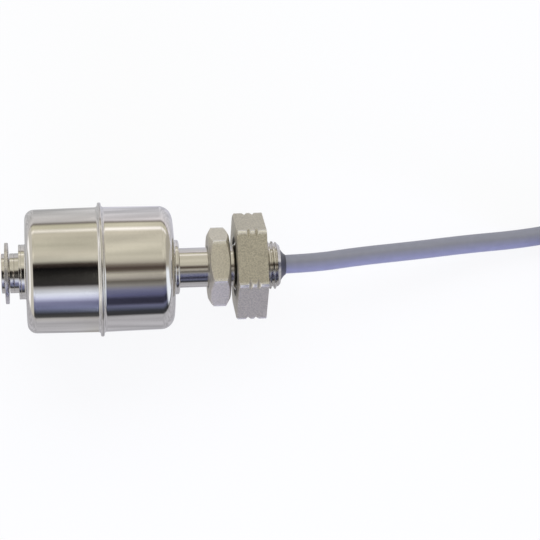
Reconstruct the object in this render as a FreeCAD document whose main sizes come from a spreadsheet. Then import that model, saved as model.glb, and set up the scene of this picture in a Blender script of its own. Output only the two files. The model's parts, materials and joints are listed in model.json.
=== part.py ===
import FreeCAD, Part
import math
import os
import re

import Sketcher
from FreeCAD import Placement, Rotation, Vector

# A float level switch: a magnet float slides on a closed stem and closes a reed contact inside it.
# It lies on its float and its lock nut, with its cable folded into a hank on the same surface.
#
# The switch's own parts are drawn along +X: "...At" values are distances from the stem's closed
# end, and the other values are radii, lengths and angles in millimetres and degrees.

dimensions = {
    # stem and its closed end
    "stemRadius": 4.0,
    "stemBore": 3.0,
    "plugShoulderAt": 2.6,
    "plugSpigotEndAt": 4.8,
    "plugEdge": 0.15,
    "clipGrooveAt": 0.7,
    "clipGrooveWidth": 1.0,
    "clipGrooveRadius": 3.0,
    # retaining clip, an E-ring for an 8 mm shaft
    "clipAt": 0.75,
    "clipThickness": 0.7,
    "clipRadius": 6.15,
    "clipRelief": 4.4,
    "clipMouth": 2.63,
    "clipToothEnd": 92.0,
    "clipBackTooth": 152.0,
    # float: two drawn half shells on an inner tube
    "floatWall": 0.25,
    "collarFaceAt": 3.5,
    "collarLip": 0.5,
    "lowerFaceAt": 4.9,
    "seamAt": 19.85,
    "upperFaceAt": 34.6,
    "upperShoulderAt": 34.35,
    "floatTopAt": 35.55,
    "beadLength": 0.45,
    "neckRadius": 5.5,
    "floatEndRadius": 12.4,
    "floatSeamRadius": 12.58,
    "shoulderRadius": 9.2,
    "lowerCorner": 1.9,
    "upperCorner": 2.7,
    "neckFillet": 0.35,
    "seamRadius": 13.5,
    "seamHalf": 0.35,
    "seamRound": 0.28,
    "floatBore": 5.0,
    "floatShift": 0.2,
    # magnet and the two spacers that centre it
    "magnetRadius": 7.0,
    "magnetLength": 4.0,
    "magnetAt": 17.6,
    "spacerRadius": 6.2,
    # threaded body
    "hexAt": 41.4,
    "hexThickness": 4.3,
    "hexFlats": 14.0,
    "hexTurn": 38.6,
    "hexChamferStart": 6.5,
    "hexChamferSlope": 30.0,
    "socketDepth": 3.6,
    "threadRadius": 4.864,
    "threadRelief": 4.1,
    "threadReliefLength": 0.8,
    "threadEndAt": 55.95,
    "threadChamfer": 0.9,
    # lock nut
    "nutAt": 46.85,
    "nutThickness": 6.0,
    "nutFlats": 19.0,
    "nutBore": 4.92,
    "nutCountersink": 0.65,
    "nutCorner": 10.42,
    "nutCornerSlope": 34.0,
    "nutBackCorner": 10.8,
    "nutEdge": 0.25,
    "nutGrooveAt": 2.35,
    "nutGroovePitch": 1.6,
    "nutGrooveHalf": 0.55,
    "nutGrooveRoot": 10.45,
    # potting round the cable
    "pottingAt": 49.2,
    "pottingRise": 0.9,
    "pottingWaist": 2.35,
    "pottingTip": 2.05,
    # reed contact and its wiring, all inside the stem
    "reedDrop": -0.9,
    "wireRise": 1.3,
    "reedAt": 12.6,
    "reedLength": 14.0,
    "reedRadius": 1.1,
    "reedWall": 0.3,
    "reedSeal": 2.0,
    "leadRadius": 0.3,
    "leadLength": 4.0,
    "bladeWidth": 1.1,
    "bladeThickness": 0.2,
    "bladeOverlap": 1.4,
    "bladeGap": 0.08,
    "bladeRootLap": 0.6,
    "crimpRadius": 0.6,
    "crimpLength": 2.8,
    "sleeveAt": 6.2,
    "sleeveEndAt": 36.0,
    "sleeveBore": 2.0,
    "coreRadius": 0.65,
    "conductorRadius": 0.3,
    "shortCoreAt": 32.6,
    "longCoreAt": 12.0,
    "turnAt": 7.0,
    # cable
    "cableRadius": 1.9,
    "cablePitch": 3.9,
    "hankX": 122.4,
    "hankY": -3.8,
    "hankStraight": 43.0,
    "hankFold": 11.5,
    "tieX": -8.0,
    "tieWidth": 2.6,
    "tieBand": 0.9,
    "tieHeadLength": 4.4,
    "tieHeadHeight": 2.6,
    "tailStart": -19.0,
    "tailEnd": -2.0,
    "coreTail": 22.0,
    "tinnedTail": 6.0,
    "coreSpread": 0.7,
    "coreSink": 1.0,
    # how the switch lies
    "lieTilt": 5.65,
}

doc = FreeCAD.newDocument("FloatLevelSwitch")
sheet = doc.addObject("Spreadsheet::Sheet", "Dimensions")
for row, (alias, value) in enumerate(dimensions.items(), start=1):
    sheet.set(f"A{row}", alias)
    sheet.set(f"B{row}", str(value))
    sheet.setAlias(f"B{row}", alias)
doc.recompute()

parts = []


def bound(words):
    """The expression with each named value read from the sheet."""
    return re.sub(
        r"[A-Za-z]\w*",
        lambda word: f"Dimensions.{word[0]}" if word[0] in dimensions else word[0],
        words,
    )


def bind(thing, values):
    for name, words in values.items():
        thing.setExpression(name, bound(words))


def newBody(label):
    body = doc.addObject("PartDesign::Body", label)
    body.Label = label
    parts.append(body)
    return body


def newSketch(body, role="XY_Plane", height=None):
    sketch = body.newObject("Sketcher::SketchObject", f"{body.Label}_outline")
    plane = [p for p in body.Origin.OriginFeatures if p.Role == role]
    sketch.AttachmentSupport = [(plane[0], "")]
    sketch.MapMode = "FlatFace"
    if height:
        bind(sketch, {"AttachmentOffset.Base.z": height})
    return sketch


def fix(sketch, kind, geometry, words, start=0.0):
    """One dimension of a sketch, read from the sheet."""
    number = sketch.addConstraint(Sketcher.Constraint(kind, *geometry, start))
    sketch.setExpression(f"Constraints[{number}]", bound(words))


def polygon(sketch, corners):
    """A closed outline, with each corner's two coordinates given as expressions."""
    first = sketch.GeometryCount
    count = len(corners)
    around = [
        Vector(9 * math.cos(2 * math.pi * k / count), 9 * math.sin(2 * math.pi * k / count), 0)
        for k in range(count)
    ]
    for k in range(count):
        sketch.addGeometry(Part.LineSegment(around[k], around[(k + 1) % count]), False)
    for k in range(count):
        following = first + (k + 1) % count
        sketch.addConstraint(Sketcher.Constraint("Coincident", first + k, 2, following, 1))
    for k, (along, out) in enumerate(corners):
        fix(sketch, "DistanceX", (-1, 1, first + k, 1), along)
        fix(sketch, "DistanceY", (-1, 1, first + k, 1), out)


def circle(sketch, radius, x=None, y=None):
    number = sketch.addGeometry(Part.Circle(Vector(0, 0, 0), Vector(0, 0, 1), 1), False)
    fix(sketch, "Radius", (number,), radius, 1.0)
    if x is None:
        sketch.addConstraint(Sketcher.Constraint("Coincident", number, 3, -1, 1))
    else:
        fix(sketch, "DistanceX", (-1, 1, number, 3), x)
        fix(sketch, "DistanceY", (-1, 1, number, 3), y)


def hexagon(sketch, flats):
    corners = [
        (f"{flats} / sqrt(3) * sin(hexTurn + {60 * k})", f"{flats} / sqrt(3) * cos(hexTurn + {60 * k})")
        for k in range(6)
    ]
    polygon(sketch, corners)


def turned(body, corners, cut=False):
    """Turn an outline of (distance along the stem, radius) corners about the stem's axis."""
    sketch = newSketch(body)
    polygon(sketch, corners)
    kind = "PartDesign::Groove" if cut else "PartDesign::Revolution"
    feature = body.newObject(kind, f"{body.Label}_turned")
    feature.Profile = sketch
    feature.ReferenceAxis = (sketch, ["H_Axis"])
    feature.Angle = 360
    sketch.Visibility = False
    doc.recompute()
    return feature


def padded(body, sketch, length):
    pad = body.newObject("PartDesign::Pad", f"{body.Label}_pad")
    pad.Profile = sketch
    bind(pad, {"Length": length})
    doc.recompute()
    return pad


def pocketed(body, sketch, length):
    """A cut that runs the way the sketch's normal points."""
    before = body.Shape.Volume
    pocket = body.newObject("PartDesign::Pocket", f"{body.Label}_pocket")
    pocket.Profile = sketch
    pocket.Reversed = True
    bind(pocket, {"Length": length})
    doc.recompute()
    if body.Shape.Volume >= before:
        raise ValueError(f"{body.Label}: a pocket cuts nothing")
    return pocket


def edgesWhere(shape, test):
    return [f"Edge{k}" for k, edge in enumerate(shape.Edges, start=1) if test(edge)]


def circlesAt(shape, along, radius):
    """The round edges about the stem's axis at one place and radius."""
    def matches(edge):
        curve = edge.Curve
        return (
            isinstance(curve, Part.Circle)
            and abs(curve.Center.x - along) < 0.02
            and abs(curve.Radius - radius) < 0.02
        )
    return edgesWhere(shape, matches)


def dressed(body, kind, edges, size):
    if not edges:
        raise ValueError(f"{body.Label}: no edge for its {kind}")
    base = body.Tip
    feature = body.newObject(f"PartDesign::{kind}", f"{body.Label}_{kind.lower()}")
    feature.Base = (base, edges)
    name = "Radius" if kind == "Fillet" else "Size"
    bind(feature, {name: size})
    doc.recompute()
    return feature


# ---- stem -------------------------------------------------------------------------------------


def makeStemTube():
    body = newBody("stem_tube")
    sketch = newSketch(body, "YZ_Plane", "plugShoulderAt")
    circle(sketch, "stemRadius")
    circle(sketch, "stemBore")
    padded(body, sketch, "hexAt + socketDepth - plugShoulderAt")


def makeEndPlug():
    body = newBody("stem_end_plug")
    turned(body, [
        ("0", "0"),
        ("0", "stemRadius"),
        ("clipGrooveAt", "stemRadius"),
        ("clipGrooveAt", "clipGrooveRadius"),
        ("clipGrooveAt + clipGrooveWidth", "clipGrooveRadius"),
        ("clipGrooveAt + clipGrooveWidth", "stemRadius"),
        ("plugShoulderAt", "stemRadius"),
        ("plugShoulderAt", "stemBore"),
        ("plugSpigotEndAt", "stemBore"),
        ("plugSpigotEndAt", "0"),
    ])
    dressed(body, "Chamfer", circlesAt(body.Shape, 0, dimensions["stemRadius"]), "plugEdge")


def makeClip():
    """An E-ring: three teeth reach the groove, two reliefs lie between them, and the mouth is below."""
    body = newBody("retaining_clip")
    sketch = newSketch(body, "YZ_Plane", "clipAt")
    circle(sketch, "clipRadius")
    circle(sketch, "clipGrooveRadius")
    padded(body, sketch, "clipThickness")
    mouth = newSketch(body, "YZ_Plane", "clipAt")
    polygon(mouth, [
        ("-clipMouth", "-clipRadius - 1"),
        ("clipMouth", "-clipRadius - 1"),
        ("clipMouth", "0"),
        ("-clipMouth", "0"),
    ])
    pocketed(body, mouth, "clipThickness")
    relief = newSketch(body, "YZ_Plane", "clipAt")
    outer = dimensions["clipRelief"]
    inner = dimensions["clipGrooveRadius"] - 0.4
    # angles from +Y towards +Z; the mouth is at -90
    start = math.radians(dimensions["clipToothEnd"] - 90)
    end = math.radians(dimensions["clipBackTooth"] - 90)
    middle = Vector(0, 0, 0)
    normal = Vector(0, 0, 1)
    relief.addGeometry(Part.ArcOfCircle(Part.Circle(middle, normal, outer), start, end), False)
    relief.addGeometry(Part.ArcOfCircle(Part.Circle(middle, normal, inner), start, end), False)
    for angle in (start, end):
        way = Vector(math.cos(angle), math.sin(angle), 0)
        relief.addGeometry(Part.LineSegment(way * inner, way * outer), False)
    for arc in (0, 1):
        relief.addConstraint(Sketcher.Constraint("Coincident", arc, 3, -1, 1))
        relief.addConstraint(Sketcher.Constraint("Coincident", 2, 2 - arc, arc, 1))
        relief.addConstraint(Sketcher.Constraint("Coincident", 3, 2 - arc, arc, 2))
    fix(relief, "Radius", (0,), "clipRelief", outer)
    fix(relief, "Radius", (1,), "clipGrooveRadius - 0.4", inner)
    for line, angle, words in (
        (2, start, "(clipToothEnd - 90) * 1deg"),
        (3, end, "(clipBackTooth - 90) * 1deg"),
    ):
        relief.addConstraint(Sketcher.Constraint("PointOnObject", -1, 1, line))
        fix(relief, "Angle", (line,), words, angle)
    cut = pocketed(body, relief, "clipThickness")
    mirror = body.newObject("PartDesign::Mirrored", "retaining_clip_mirrored")
    mirror.Originals = [cut]
    mirror.MirrorPlane = (relief, ["V_Axis"])
    body.Tip = mirror
    doc.recompute()


# ---- float ------------------------------------------------------------------------------------


def hollow(body, faceTests):
    """Leave only the wall, open at the faces that a test picks."""
    faces = [
        f"Face{k}"
        for k, face in enumerate(body.Shape.Faces, start=1)
        if any(test(face) for test in faceTests)
    ]
    base = body.Tip
    shell = body.newObject("PartDesign::Thickness", f"{body.Label}_wall")
    shell.Base = (base, faces)
    shell.Reversed = True
    bind(shell, {"Value": "floatWall"})
    doc.recompute()


def flatAt(along):
    def test(face):
        box = face.BoundBox
        return abs(box.XMin - along) < 0.01 and abs(box.XMax - along) < 0.01
    return test


def makeLowerShell():
    """Half shell on the clip's side: neck, flat end, rounded corner, drafted wall, rim flange."""
    d = dimensions
    body = newBody("float_lower_shell")
    turned(body, [
        ("collarFaceAt + collarLip", "0"),
        ("collarFaceAt + collarLip", "neckRadius"),
        ("lowerFaceAt", "neckRadius"),
        ("lowerFaceAt", "floatEndRadius"),
        ("seamAt", "floatSeamRadius"),
        ("seamAt", "0"),
    ])
    dressed(body, "Fillet", circlesAt(body.Shape, d["lowerFaceAt"], d["floatEndRadius"]), "lowerCorner")
    dressed(body, "Fillet", circlesAt(body.Shape, d["lowerFaceAt"], d["neckRadius"]), "neckFillet")
    hollow(body, [flatAt(d["collarFaceAt"] + d["collarLip"]), flatAt(d["seamAt"])])
    turned(body, [
        ("seamAt - seamHalf", "floatSeamRadius - floatWall / 2"),
        ("seamAt - seamHalf", "seamRadius"),
        ("seamAt", "seamRadius"),
        ("seamAt", "floatSeamRadius - floatWall / 2"),
    ])
    rim = circlesAt(body.Shape, d["seamAt"] - d["seamHalf"], d["seamRadius"])
    dressed(body, "Fillet", rim, "seamRound")


def makeUpperShell():
    """Half shell on the hexagon's side: a softly domed end, a larger corner and a short neck."""
    d = dimensions
    body = newBody("float_upper_shell")
    neckTop = d["floatTopAt"] - d["beadLength"]
    turned(body, [
        ("seamAt", "0"),
        ("seamAt", "floatSeamRadius"),
        ("upperShoulderAt", "floatEndRadius"),
        ("upperShoulderAt", "shoulderRadius"),
        ("upperFaceAt", "neckRadius"),
        ("floatTopAt - beadLength", "neckRadius"),
        ("floatTopAt - beadLength", "0"),
    ])
    dressed(body, "Fillet", circlesAt(body.Shape, d["upperShoulderAt"], d["floatEndRadius"]), "upperCorner")
    dressed(body, "Fillet", circlesAt(body.Shape, d["upperFaceAt"], d["neckRadius"]), "neckFillet")
    hollow(body, [flatAt(neckTop), flatAt(d["seamAt"])])
    turned(body, [
        ("seamAt + seamHalf", "floatSeamRadius - floatWall / 2"),
        ("seamAt + seamHalf", "seamRadius"),
        ("seamAt", "seamRadius"),
        ("seamAt", "floatSeamRadius - floatWall / 2"),
    ])
    rim = circlesAt(body.Shape, d["seamAt"] + d["seamHalf"], d["seamRadius"])
    dressed(body, "Fillet", rim, "seamRound")


def makeFloatTube():
    """The tube that the float slides on: a square lip below and a rounded weld bead above."""
    d = dimensions
    body = newBody("float_inner_tube")
    turned(body, [
        ("collarFaceAt", "floatBore"),
        ("collarFaceAt", "neckRadius"),
        ("collarFaceAt + collarLip", "neckRadius"),
        ("collarFaceAt + collarLip", "neckRadius - floatWall"),
        ("floatTopAt - beadLength", "neckRadius - floatWall"),
        ("floatTopAt - beadLength", "neckRadius"),
        ("floatTopAt", "neckRadius"),
        ("floatTopAt", "floatBore"),
    ])
    dressed(body, "Fillet", circlesAt(body.Shape, d["floatTopAt"], d["neckRadius"]), "beadLength - 0.03")


def makeMagnet():
    body = newBody("ring_magnet")
    sketch = newSketch(body, "YZ_Plane", "magnetAt")
    circle(sketch, "magnetRadius")
    circle(sketch, "neckRadius - floatWall")
    padded(body, sketch, "magnetLength")


def makeSpacer(label, start, length):
    body = newBody(label)
    sketch = newSketch(body, "YZ_Plane", start)
    circle(sketch, "spacerRadius")
    circle(sketch, "neckRadius - floatWall")
    padded(body, sketch, length)


# ---- threaded body and lock nut ---------------------------------------------------------------


def makeHexBody():
    """Hexagon and G 1/8 stud turned from one bar, bored through and socketed for the stem."""
    body = newBody("hex_body")
    sketch = newSketch(body, "YZ_Plane", "hexAt")
    hexagon(sketch, "hexFlats")
    padded(body, sketch, "hexThickness")
    rise = "tan(hexChamferSlope) * (hexFlats - hexChamferStart)"
    for face, way in (("hexAt", "+"), ("hexAt + hexThickness", "-")):
        turned(body, [
            (face, "hexChamferStart"),
            (face, "hexFlats"),
            (f"{face} {way} {rise}", "hexFlats"),
        ], cut=True)
    turned(body, [
        ("hexAt + hexThickness - 0.5", "0"),
        ("hexAt + hexThickness - 0.5", "threadRelief"),
        ("hexAt + hexThickness + threadReliefLength", "threadRelief"),
        ("hexAt + hexThickness + threadReliefLength + 0.4", "threadRadius"),
        ("threadEndAt - threadChamfer", "threadRadius"),
        ("threadEndAt", "threadRadius - threadChamfer"),
        ("threadEndAt", "0"),
    ])
    turned(body, [
        ("hexAt", "0"),
        ("hexAt", "stemRadius"),
        ("hexAt + socketDepth", "stemRadius"),
        ("hexAt + socketDepth", "stemBore"),
        ("threadEndAt", "stemBore"),
        ("threadEndAt", "0"),
    ], cut=True)


def makeLockNut():
    """Hexagon nut with two V grooves turned round its corners."""
    d = dimensions
    body = newBody("lock_nut")
    sketch = newSketch(body, "YZ_Plane", "nutAt")
    hexagon(sketch, "nutFlats")
    padded(body, sketch, "nutThickness")
    corner = d["nutFlats"] / math.sqrt(3)

    def isCornerEdge(edge):
        box = edge.BoundBox
        middle = edge.CenterOfMass
        return (
            box.XLength > d["nutThickness"] - 0.01
            and abs(math.hypot(middle.y, middle.z) - corner) < 0.01
        )
    dressed(body, "Chamfer", edgesWhere(body.Shape, isCornerEdge), "nutEdge")
    turned(body, [
        ("nutAt", "nutCorner"),
        ("nutAt", "nutCorner + 3"),
        ("nutAt + 3 * tan(nutCornerSlope)", "nutCorner + 3"),
    ], cut=True)
    turned(body, [
        ("nutAt + nutThickness", "nutBackCorner"),
        ("nutAt + nutThickness", "nutBackCorner + 3"),
        ("nutAt + nutThickness - 3 * tan(nutCornerSlope)", "nutBackCorner + 3"),
    ], cut=True)
    depth = "(nutFlats / sqrt(3) - nutGrooveRoot)"
    groove = turned(body, [
        ("nutAt + nutGrooveAt", "nutGrooveRoot"),
        (f"nutAt + nutGrooveAt + 3 * nutGrooveHalf / {depth}", "nutGrooveRoot + 3"),
        (f"nutAt + nutGrooveAt - 3 * nutGrooveHalf / {depth}", "nutGrooveRoot + 3"),
    ], cut=True)
    pattern = body.newObject("PartDesign::LinearPattern", "lock_nut_grooves")
    pattern.Originals = [groove]
    pattern.Direction = (groove.Profile[0], ["H_Axis"])
    pattern.Occurrences = 2
    bind(pattern, {"Length": "nutGroovePitch"})
    body.Tip = pattern
    doc.recompute()
    turned(body, [
        ("nutAt", "0"),
        ("nutAt", "nutBore + nutCountersink"),
        ("nutAt + nutCountersink", "nutBore"),
        ("nutAt + nutThickness - nutCountersink", "nutBore"),
        ("nutAt + nutThickness", "nutBore + nutCountersink"),
        ("nutAt + nutThickness", "0"),
    ], cut=True)


def makePotting():
    """Resin that seals the cable in the stud, drawn up round the jacket as a small cone."""
    body = newBody("cable_potting")
    turned(body, [
        ("pottingAt", "cableRadius"),
        ("pottingAt", "stemBore"),
        ("threadEndAt", "stemBore"),
        ("threadEndAt + pottingRise * 0.35", "pottingWaist"),
        ("threadEndAt + pottingRise", "pottingTip"),
        ("threadEndAt + pottingRise", "cableRadius"),
    ])


# ---- reed contact and wiring ------------------------------------------------------------------


def makeReedSleeve():
    body = newBody("reed_sleeve")
    sketch = newSketch(body, "YZ_Plane", "sleeveAt")
    circle(sketch, "stemBore")
    circle(sketch, "sleeveBore")
    padded(body, sketch, "sleeveEndAt - sleeveAt")


def makeReedGlass():
    """Closed glass tube, fused round a lead at each end."""
    d = dimensions
    body = newBody("reed_glass")
    sketch = newSketch(body, "YZ_Plane", "reedAt")
    circle(sketch, "reedRadius", "0", "reedDrop")
    padded(body, sketch, "reedLength")
    ends = [
        edge
        for along in (d["reedAt"], d["reedAt"] + d["reedLength"])
        for edge in edgesWhere(body.Shape, lambda e, x=along: abs(e.CenterOfMass.x - x) < 0.01)
    ]
    dressed(body, "Fillet", ends, "reedRadius * 0.55")
    bore = newSketch(body, "YZ_Plane", "reedAt - 0.1")
    circle(bore, "leadRadius", "0", "reedDrop")
    pocketed(body, bore, "reedLength + 0.2")
    cavity = newSketch(body, "YZ_Plane", "reedAt + reedSeal")
    circle(cavity, "reedRadius - reedWall", "0", "reedDrop")
    pocketed(body, cavity, "reedLength - 2 * reedSeal")


def makeBlade(label, lead, blade, height):
    """A lead of nickel-iron wire, rolled flat where it is a contact blade."""
    wire = doc.addObject("Part::Cylinder", f"{label}_wire")
    bind(wire, {
        "Radius": "leadRadius",
        "Height": lead[1],
        "Placement.Base.x": lead[0],
        "Placement.Base.z": "reedDrop",
    })
    wire.Placement.Rotation = Rotation(Vector(0, 1, 0), 90)
    flat = doc.addObject("Part::Box", f"{label}_flat")
    bind(flat, {
        "Length": blade[1],
        "Width": "bladeWidth",
        "Height": "bladeThickness",
        "Placement.Base.x": blade[0],
        "Placement.Base.y": "-bladeWidth / 2",
        "Placement.Base.z": height,
    })
    whole = doc.addObject("Part::Fuse", label)
    whole.Base = wire
    whole.Tool = flat
    whole.Label = label
    parts.append(whole)
    doc.recompute()


def makeCrimp(label, start):
    """A ferrule squeezed on a lead and the conductor that meets it."""
    body = newBody(label)
    sketch = newSketch(body, "YZ_Plane", start)
    circle(sketch, "crimpRadius", "0", "reedDrop")
    circle(sketch, "leadRadius", "0", "reedDrop")
    padded(body, sketch, "crimpLength")


def makeCore(label, start, rise):
    """Insulation of a core, from the jacket's end to where it is stripped."""
    body = newBody(label)
    sketch = newSketch(body, "YZ_Plane", start)
    circle(sketch, "coreRadius", "0", rise)
    circle(sketch, "conductorRadius", "0", rise)
    padded(body, sketch, f"pottingAt - ({start})")


def makeShortConductor():
    body = newBody("conductor_short")
    sketch = newSketch(body, "YZ_Plane", "reedAt + reedLength + leadLength")
    circle(sketch, "conductorRadius", "0", "reedDrop")
    padded(body, sketch, "pottingAt - reedAt - reedLength - leadLength")


def makeReturnConductor():
    """The long core's wire: along the stem, round a half turn and back to the far lead."""
    body = newBody("conductor_return")
    d = dimensions
    path = newSketch(body, "XZ_Plane")
    top = d["wireRise"]
    low = d["reedDrop"]
    middle = Vector(d["turnAt"], (top + low) / 2, 0)
    half = (top - low) / 2
    backTo = d["reedAt"] - d["leadLength"]
    path.addGeometry(Part.LineSegment(Vector(d["pottingAt"], top, 0), Vector(d["turnAt"], top, 0)), False)
    bend = Part.ArcOfCircle(Part.Circle(middle, Vector(0, 0, 1), half), math.pi / 2, 3 * math.pi / 2)
    path.addGeometry(bend, False)
    path.addGeometry(Part.LineSegment(Vector(d["turnAt"], low, 0), Vector(backTo, low, 0)), False)
    path.addConstraint(Sketcher.Constraint("Tangent", 0, 2, 1, 1))
    path.addConstraint(Sketcher.Constraint("Tangent", 1, 2, 2, 1))
    path.addConstraint(Sketcher.Constraint("Horizontal", 0))
    path.addConstraint(Sketcher.Constraint("Horizontal", 2))
    fix(path, "DistanceX", (-1, 1, 0, 1), "pottingAt", d["pottingAt"])
    fix(path, "DistanceY", (-1, 1, 0, 1), "wireRise", top)
    fix(path, "DistanceX", (-1, 1, 1, 3), "turnAt", d["turnAt"])
    fix(path, "DistanceX", (-1, 1, 2, 2), "reedAt - leadLength", backTo)
    fix(path, "DistanceY", (-1, 1, 2, 2), "reedDrop", low)
    section = newSketch(body, "YZ_Plane", "pottingAt")
    circle(section, "conductorRadius", "0", "wireRise")
    pipe = body.newObject("PartDesign::AdditivePipe", "conductor_return_pipe")
    pipe.Profile = section
    pipe.Spine = path
    doc.recompute()


# ---- cable ------------------------------------------------------------------------------------


def roundedRoute(points):
    """Straight runs joined by tangent arcs, each as large as its two runs allow."""
    edges = []
    radii = []
    start = points[0]
    for before, corner, after in zip(points, points[1:], points[2:]):
        incoming = (corner - before).normalize()
        outgoing = (after - corner).normalize()
        turn = incoming.getAngle(outgoing)
        reach = 0.45 * min((corner - before).Length, (after - corner).Length)
        radius = reach / math.tan(turn / 2)
        first = corner - incoming * reach
        last = corner + outgoing * reach
        inward = (outgoing - incoming).normalize()
        middle = corner + inward * (radius / math.cos(turn / 2) - radius)
        edges.append(Part.LineSegment(start, first).toShape())
        edges.append(Part.Arc(first, middle, last).toShape())
        radii.append(round(radius, 1))
        start = last
    edges.append(Part.LineSegment(start, points[-1]).toShape())
    return Part.Wire(edges), radii


def makeCableRun(placement):
    """The cable from the potting down to the surface and up to the hank."""
    d = dimensions

    def onAxis(along):
        return placement.multVec(Vector(along, 0, 0))
    # the first two points lie on the stem's axis, the others are where the cable comes to lie
    points = [
        onAxis(d["pottingAt"]),
        onAxis(62.0),
        Vector(43.5, 1.1, 8.1),
        Vector(55.5, 2.3, 6.1),
        Vector(66.5, 3.3, 3.8),
        Vector(77.0, 3.9, 2.1),
        Vector(86.5, 5.6, 1.9),
        Vector(95.0, 9.9, 1.9),
        Vector(103.0, 11.6, 1.9),
    ]
    wire, radii = roundedRoute(points)
    print("cable run radii", radii)
    section = Part.Circle(points[0], points[1] - points[0], d["cableRadius"]).toShape()
    tube = wire.makePipeShell([Part.Wire(section)], True, False)
    expected = math.pi * d["cableRadius"] ** 2 * wire.Length
    print("cable run length", round(wire.Length, 1), "volume ratio", round(tube.Volume / expected, 4))
    run = doc.addObject("Part::Feature", "cable_run")
    run.Label = "cable_run"
    run.Shape = tube
    return run


def racetrack(sketch, straight, radius):
    """Two straights joined by two half circles, about the sketch's origin."""
    first = sketch.GeometryCount
    half = dimensions["hankStraight"] / 2
    out = 15.0
    normal = Vector(0, 0, 1)
    right = Part.Circle(Vector(half, 0, 0), normal, out)
    left = Part.Circle(Vector(-half, 0, 0), normal, out)
    sketch.addGeometry(Part.LineSegment(Vector(-half, -out, 0), Vector(half, -out, 0)), False)
    sketch.addGeometry(Part.ArcOfCircle(right, -math.pi / 2, math.pi / 2), False)
    sketch.addGeometry(Part.LineSegment(Vector(half, out, 0), Vector(-half, out, 0)), False)
    sketch.addGeometry(Part.ArcOfCircle(left, math.pi / 2, 3 * math.pi / 2), False)
    for k in range(4):
        following = first + (k + 1) % 4
        sketch.addConstraint(Sketcher.Constraint("Tangent", first + k, 2, following, 1))
    for arc, side in ((first + 1, ""), (first + 3, "-")):
        sketch.addConstraint(Sketcher.Constraint("PointOnObject", arc, 3, -1))
        fix(sketch, "DistanceX", (-1, 1, arc, 3), f"{side}{straight} / 2", float(side + "1") * half)
        fix(sketch, "Radius", (arc,), radius, out)


def makeHank():
    """Two lanes of turns, two layers high, and a third layer on the outer lane."""
    body = newBody("cable_hank")
    for layer, inside, height in (
        (None, "hankFold - cableRadius", "2 * cablePitch - 0.1"),
        ("2 * cablePitch - 0.1", "hankFold + cablePitch - cableRadius", "cablePitch"),
    ):
        sketch = newSketch(body, "XY_Plane", layer)
        racetrack(sketch, "hankStraight", "hankFold + cablePitch + cableRadius")
        racetrack(sketch, "hankStraight", inside)
        padded(body, sketch, height)
    # the tie lifts the bottom turns by its own thickness
    seat = newSketch(body, "XY_Plane")
    polygon(seat, [
        ("tieX - tieWidth / 2 - 0.2", "hankFold - cableRadius - 2"),
        ("tieX + tieWidth / 2 + 0.2", "hankFold - cableRadius - 2"),
        ("tieX + tieWidth / 2 + 0.2", "hankFold + cablePitch + cableRadius + 2"),
        ("tieX - tieWidth / 2 - 0.2", "hankFold + cablePitch + cableRadius + 2"),
    ])
    pocketed(body, seat, "tieBand")
    return body


def makeTie():
    """Cable tie round one side of the hank, with its head on top."""
    body = newBody("hank_tie")
    sketch = newSketch(body, "YZ_Plane", "tieX - tieWidth / 2")
    inner = "hankFold - cableRadius"
    outer = "hankFold + cablePitch + cableRadius"
    top = "3 * cablePitch - 0.1"
    for grow in ("tieBand", "0"):
        low = "0" if grow == "tieBand" else "tieBand"
        polygon(sketch, [
            (f"{inner} - {grow}", low),
            (f"{outer} + {grow}", low),
            (f"{outer} + {grow}", f"{top} + {grow}"),
            (f"{inner} - {grow}", f"{top} + {grow}"),
        ])
    padded(body, sketch, "tieWidth")
    head = newSketch(body, "XY_Plane", f"{top} + tieBand - 0.2")
    polygon(head, [
        ("tieX - tieHeadLength / 2", "hankFold"),
        ("tieX + tieHeadLength / 2", "hankFold"),
        ("tieX + tieHeadLength / 2", "hankFold + tieHeadLength"),
        ("tieX - tieHeadLength / 2", "hankFold + tieHeadLength"),
    ])
    padded(body, head, "tieHeadHeight")
    return body


def makeTailPiece(label, start, length, side, sink, radius):
    """A straight piece of the cable's free end, lying on the hank's inner lane."""
    body = newBody(label)
    sketch = newSketch(body, "YZ_Plane", start)
    circle(sketch, radius, f"hankFold + {side}", f"2 * cablePitch - 0.1 + cableRadius - {sink}")
    padded(body, sketch, length)
    return body


makeStemTube()
makeEndPlug()
makeClip()
floatStart = len(parts)
makeLowerShell()
makeUpperShell()
makeFloatTube()
makeMagnet()
makeSpacer(
    "magnet_spacer_lower",
    "lowerFaceAt + floatWall",
    "magnetAt - lowerFaceAt - floatWall",
)
makeSpacer(
    "magnet_spacer_upper",
    "magnetAt + magnetLength",
    "upperShoulderAt - floatWall - magnetAt - magnetLength",
)
floatParts = parts[floatStart:]
makeHexBody()
makeLockNut()
makePotting()
makeReedSleeve()
makeReedGlass()
bladeReach = "reedLength / 2 + bladeOverlap / 2 - reedSeal"
leadReach = "leadLength + reedSeal + bladeRootLap"
makeBlade(
    "reed_blade_far",
    ("reedAt - leadLength", leadReach),
    ("reedAt + reedSeal", bladeReach),
    "reedDrop - bladeGap / 2 - bladeThickness",
)
makeBlade(
    "reed_blade_near",
    ("reedAt + reedLength - reedSeal - bladeRootLap", leadReach),
    ("reedAt + reedLength / 2 - bladeOverlap / 2", bladeReach),
    "reedDrop + bladeGap / 2",
)
makeCrimp("crimp_far", "reedAt - leadLength - crimpLength / 2")
makeCrimp("crimp_near", "reedAt + reedLength + leadLength - crimpLength / 2")
makeCore("core_short", "shortCoreAt", "reedDrop")
makeCore("core_long", "longCoreAt", "wireRise")
makeShortConductor()
makeReturnConductor()
doc.recompute()

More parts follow.
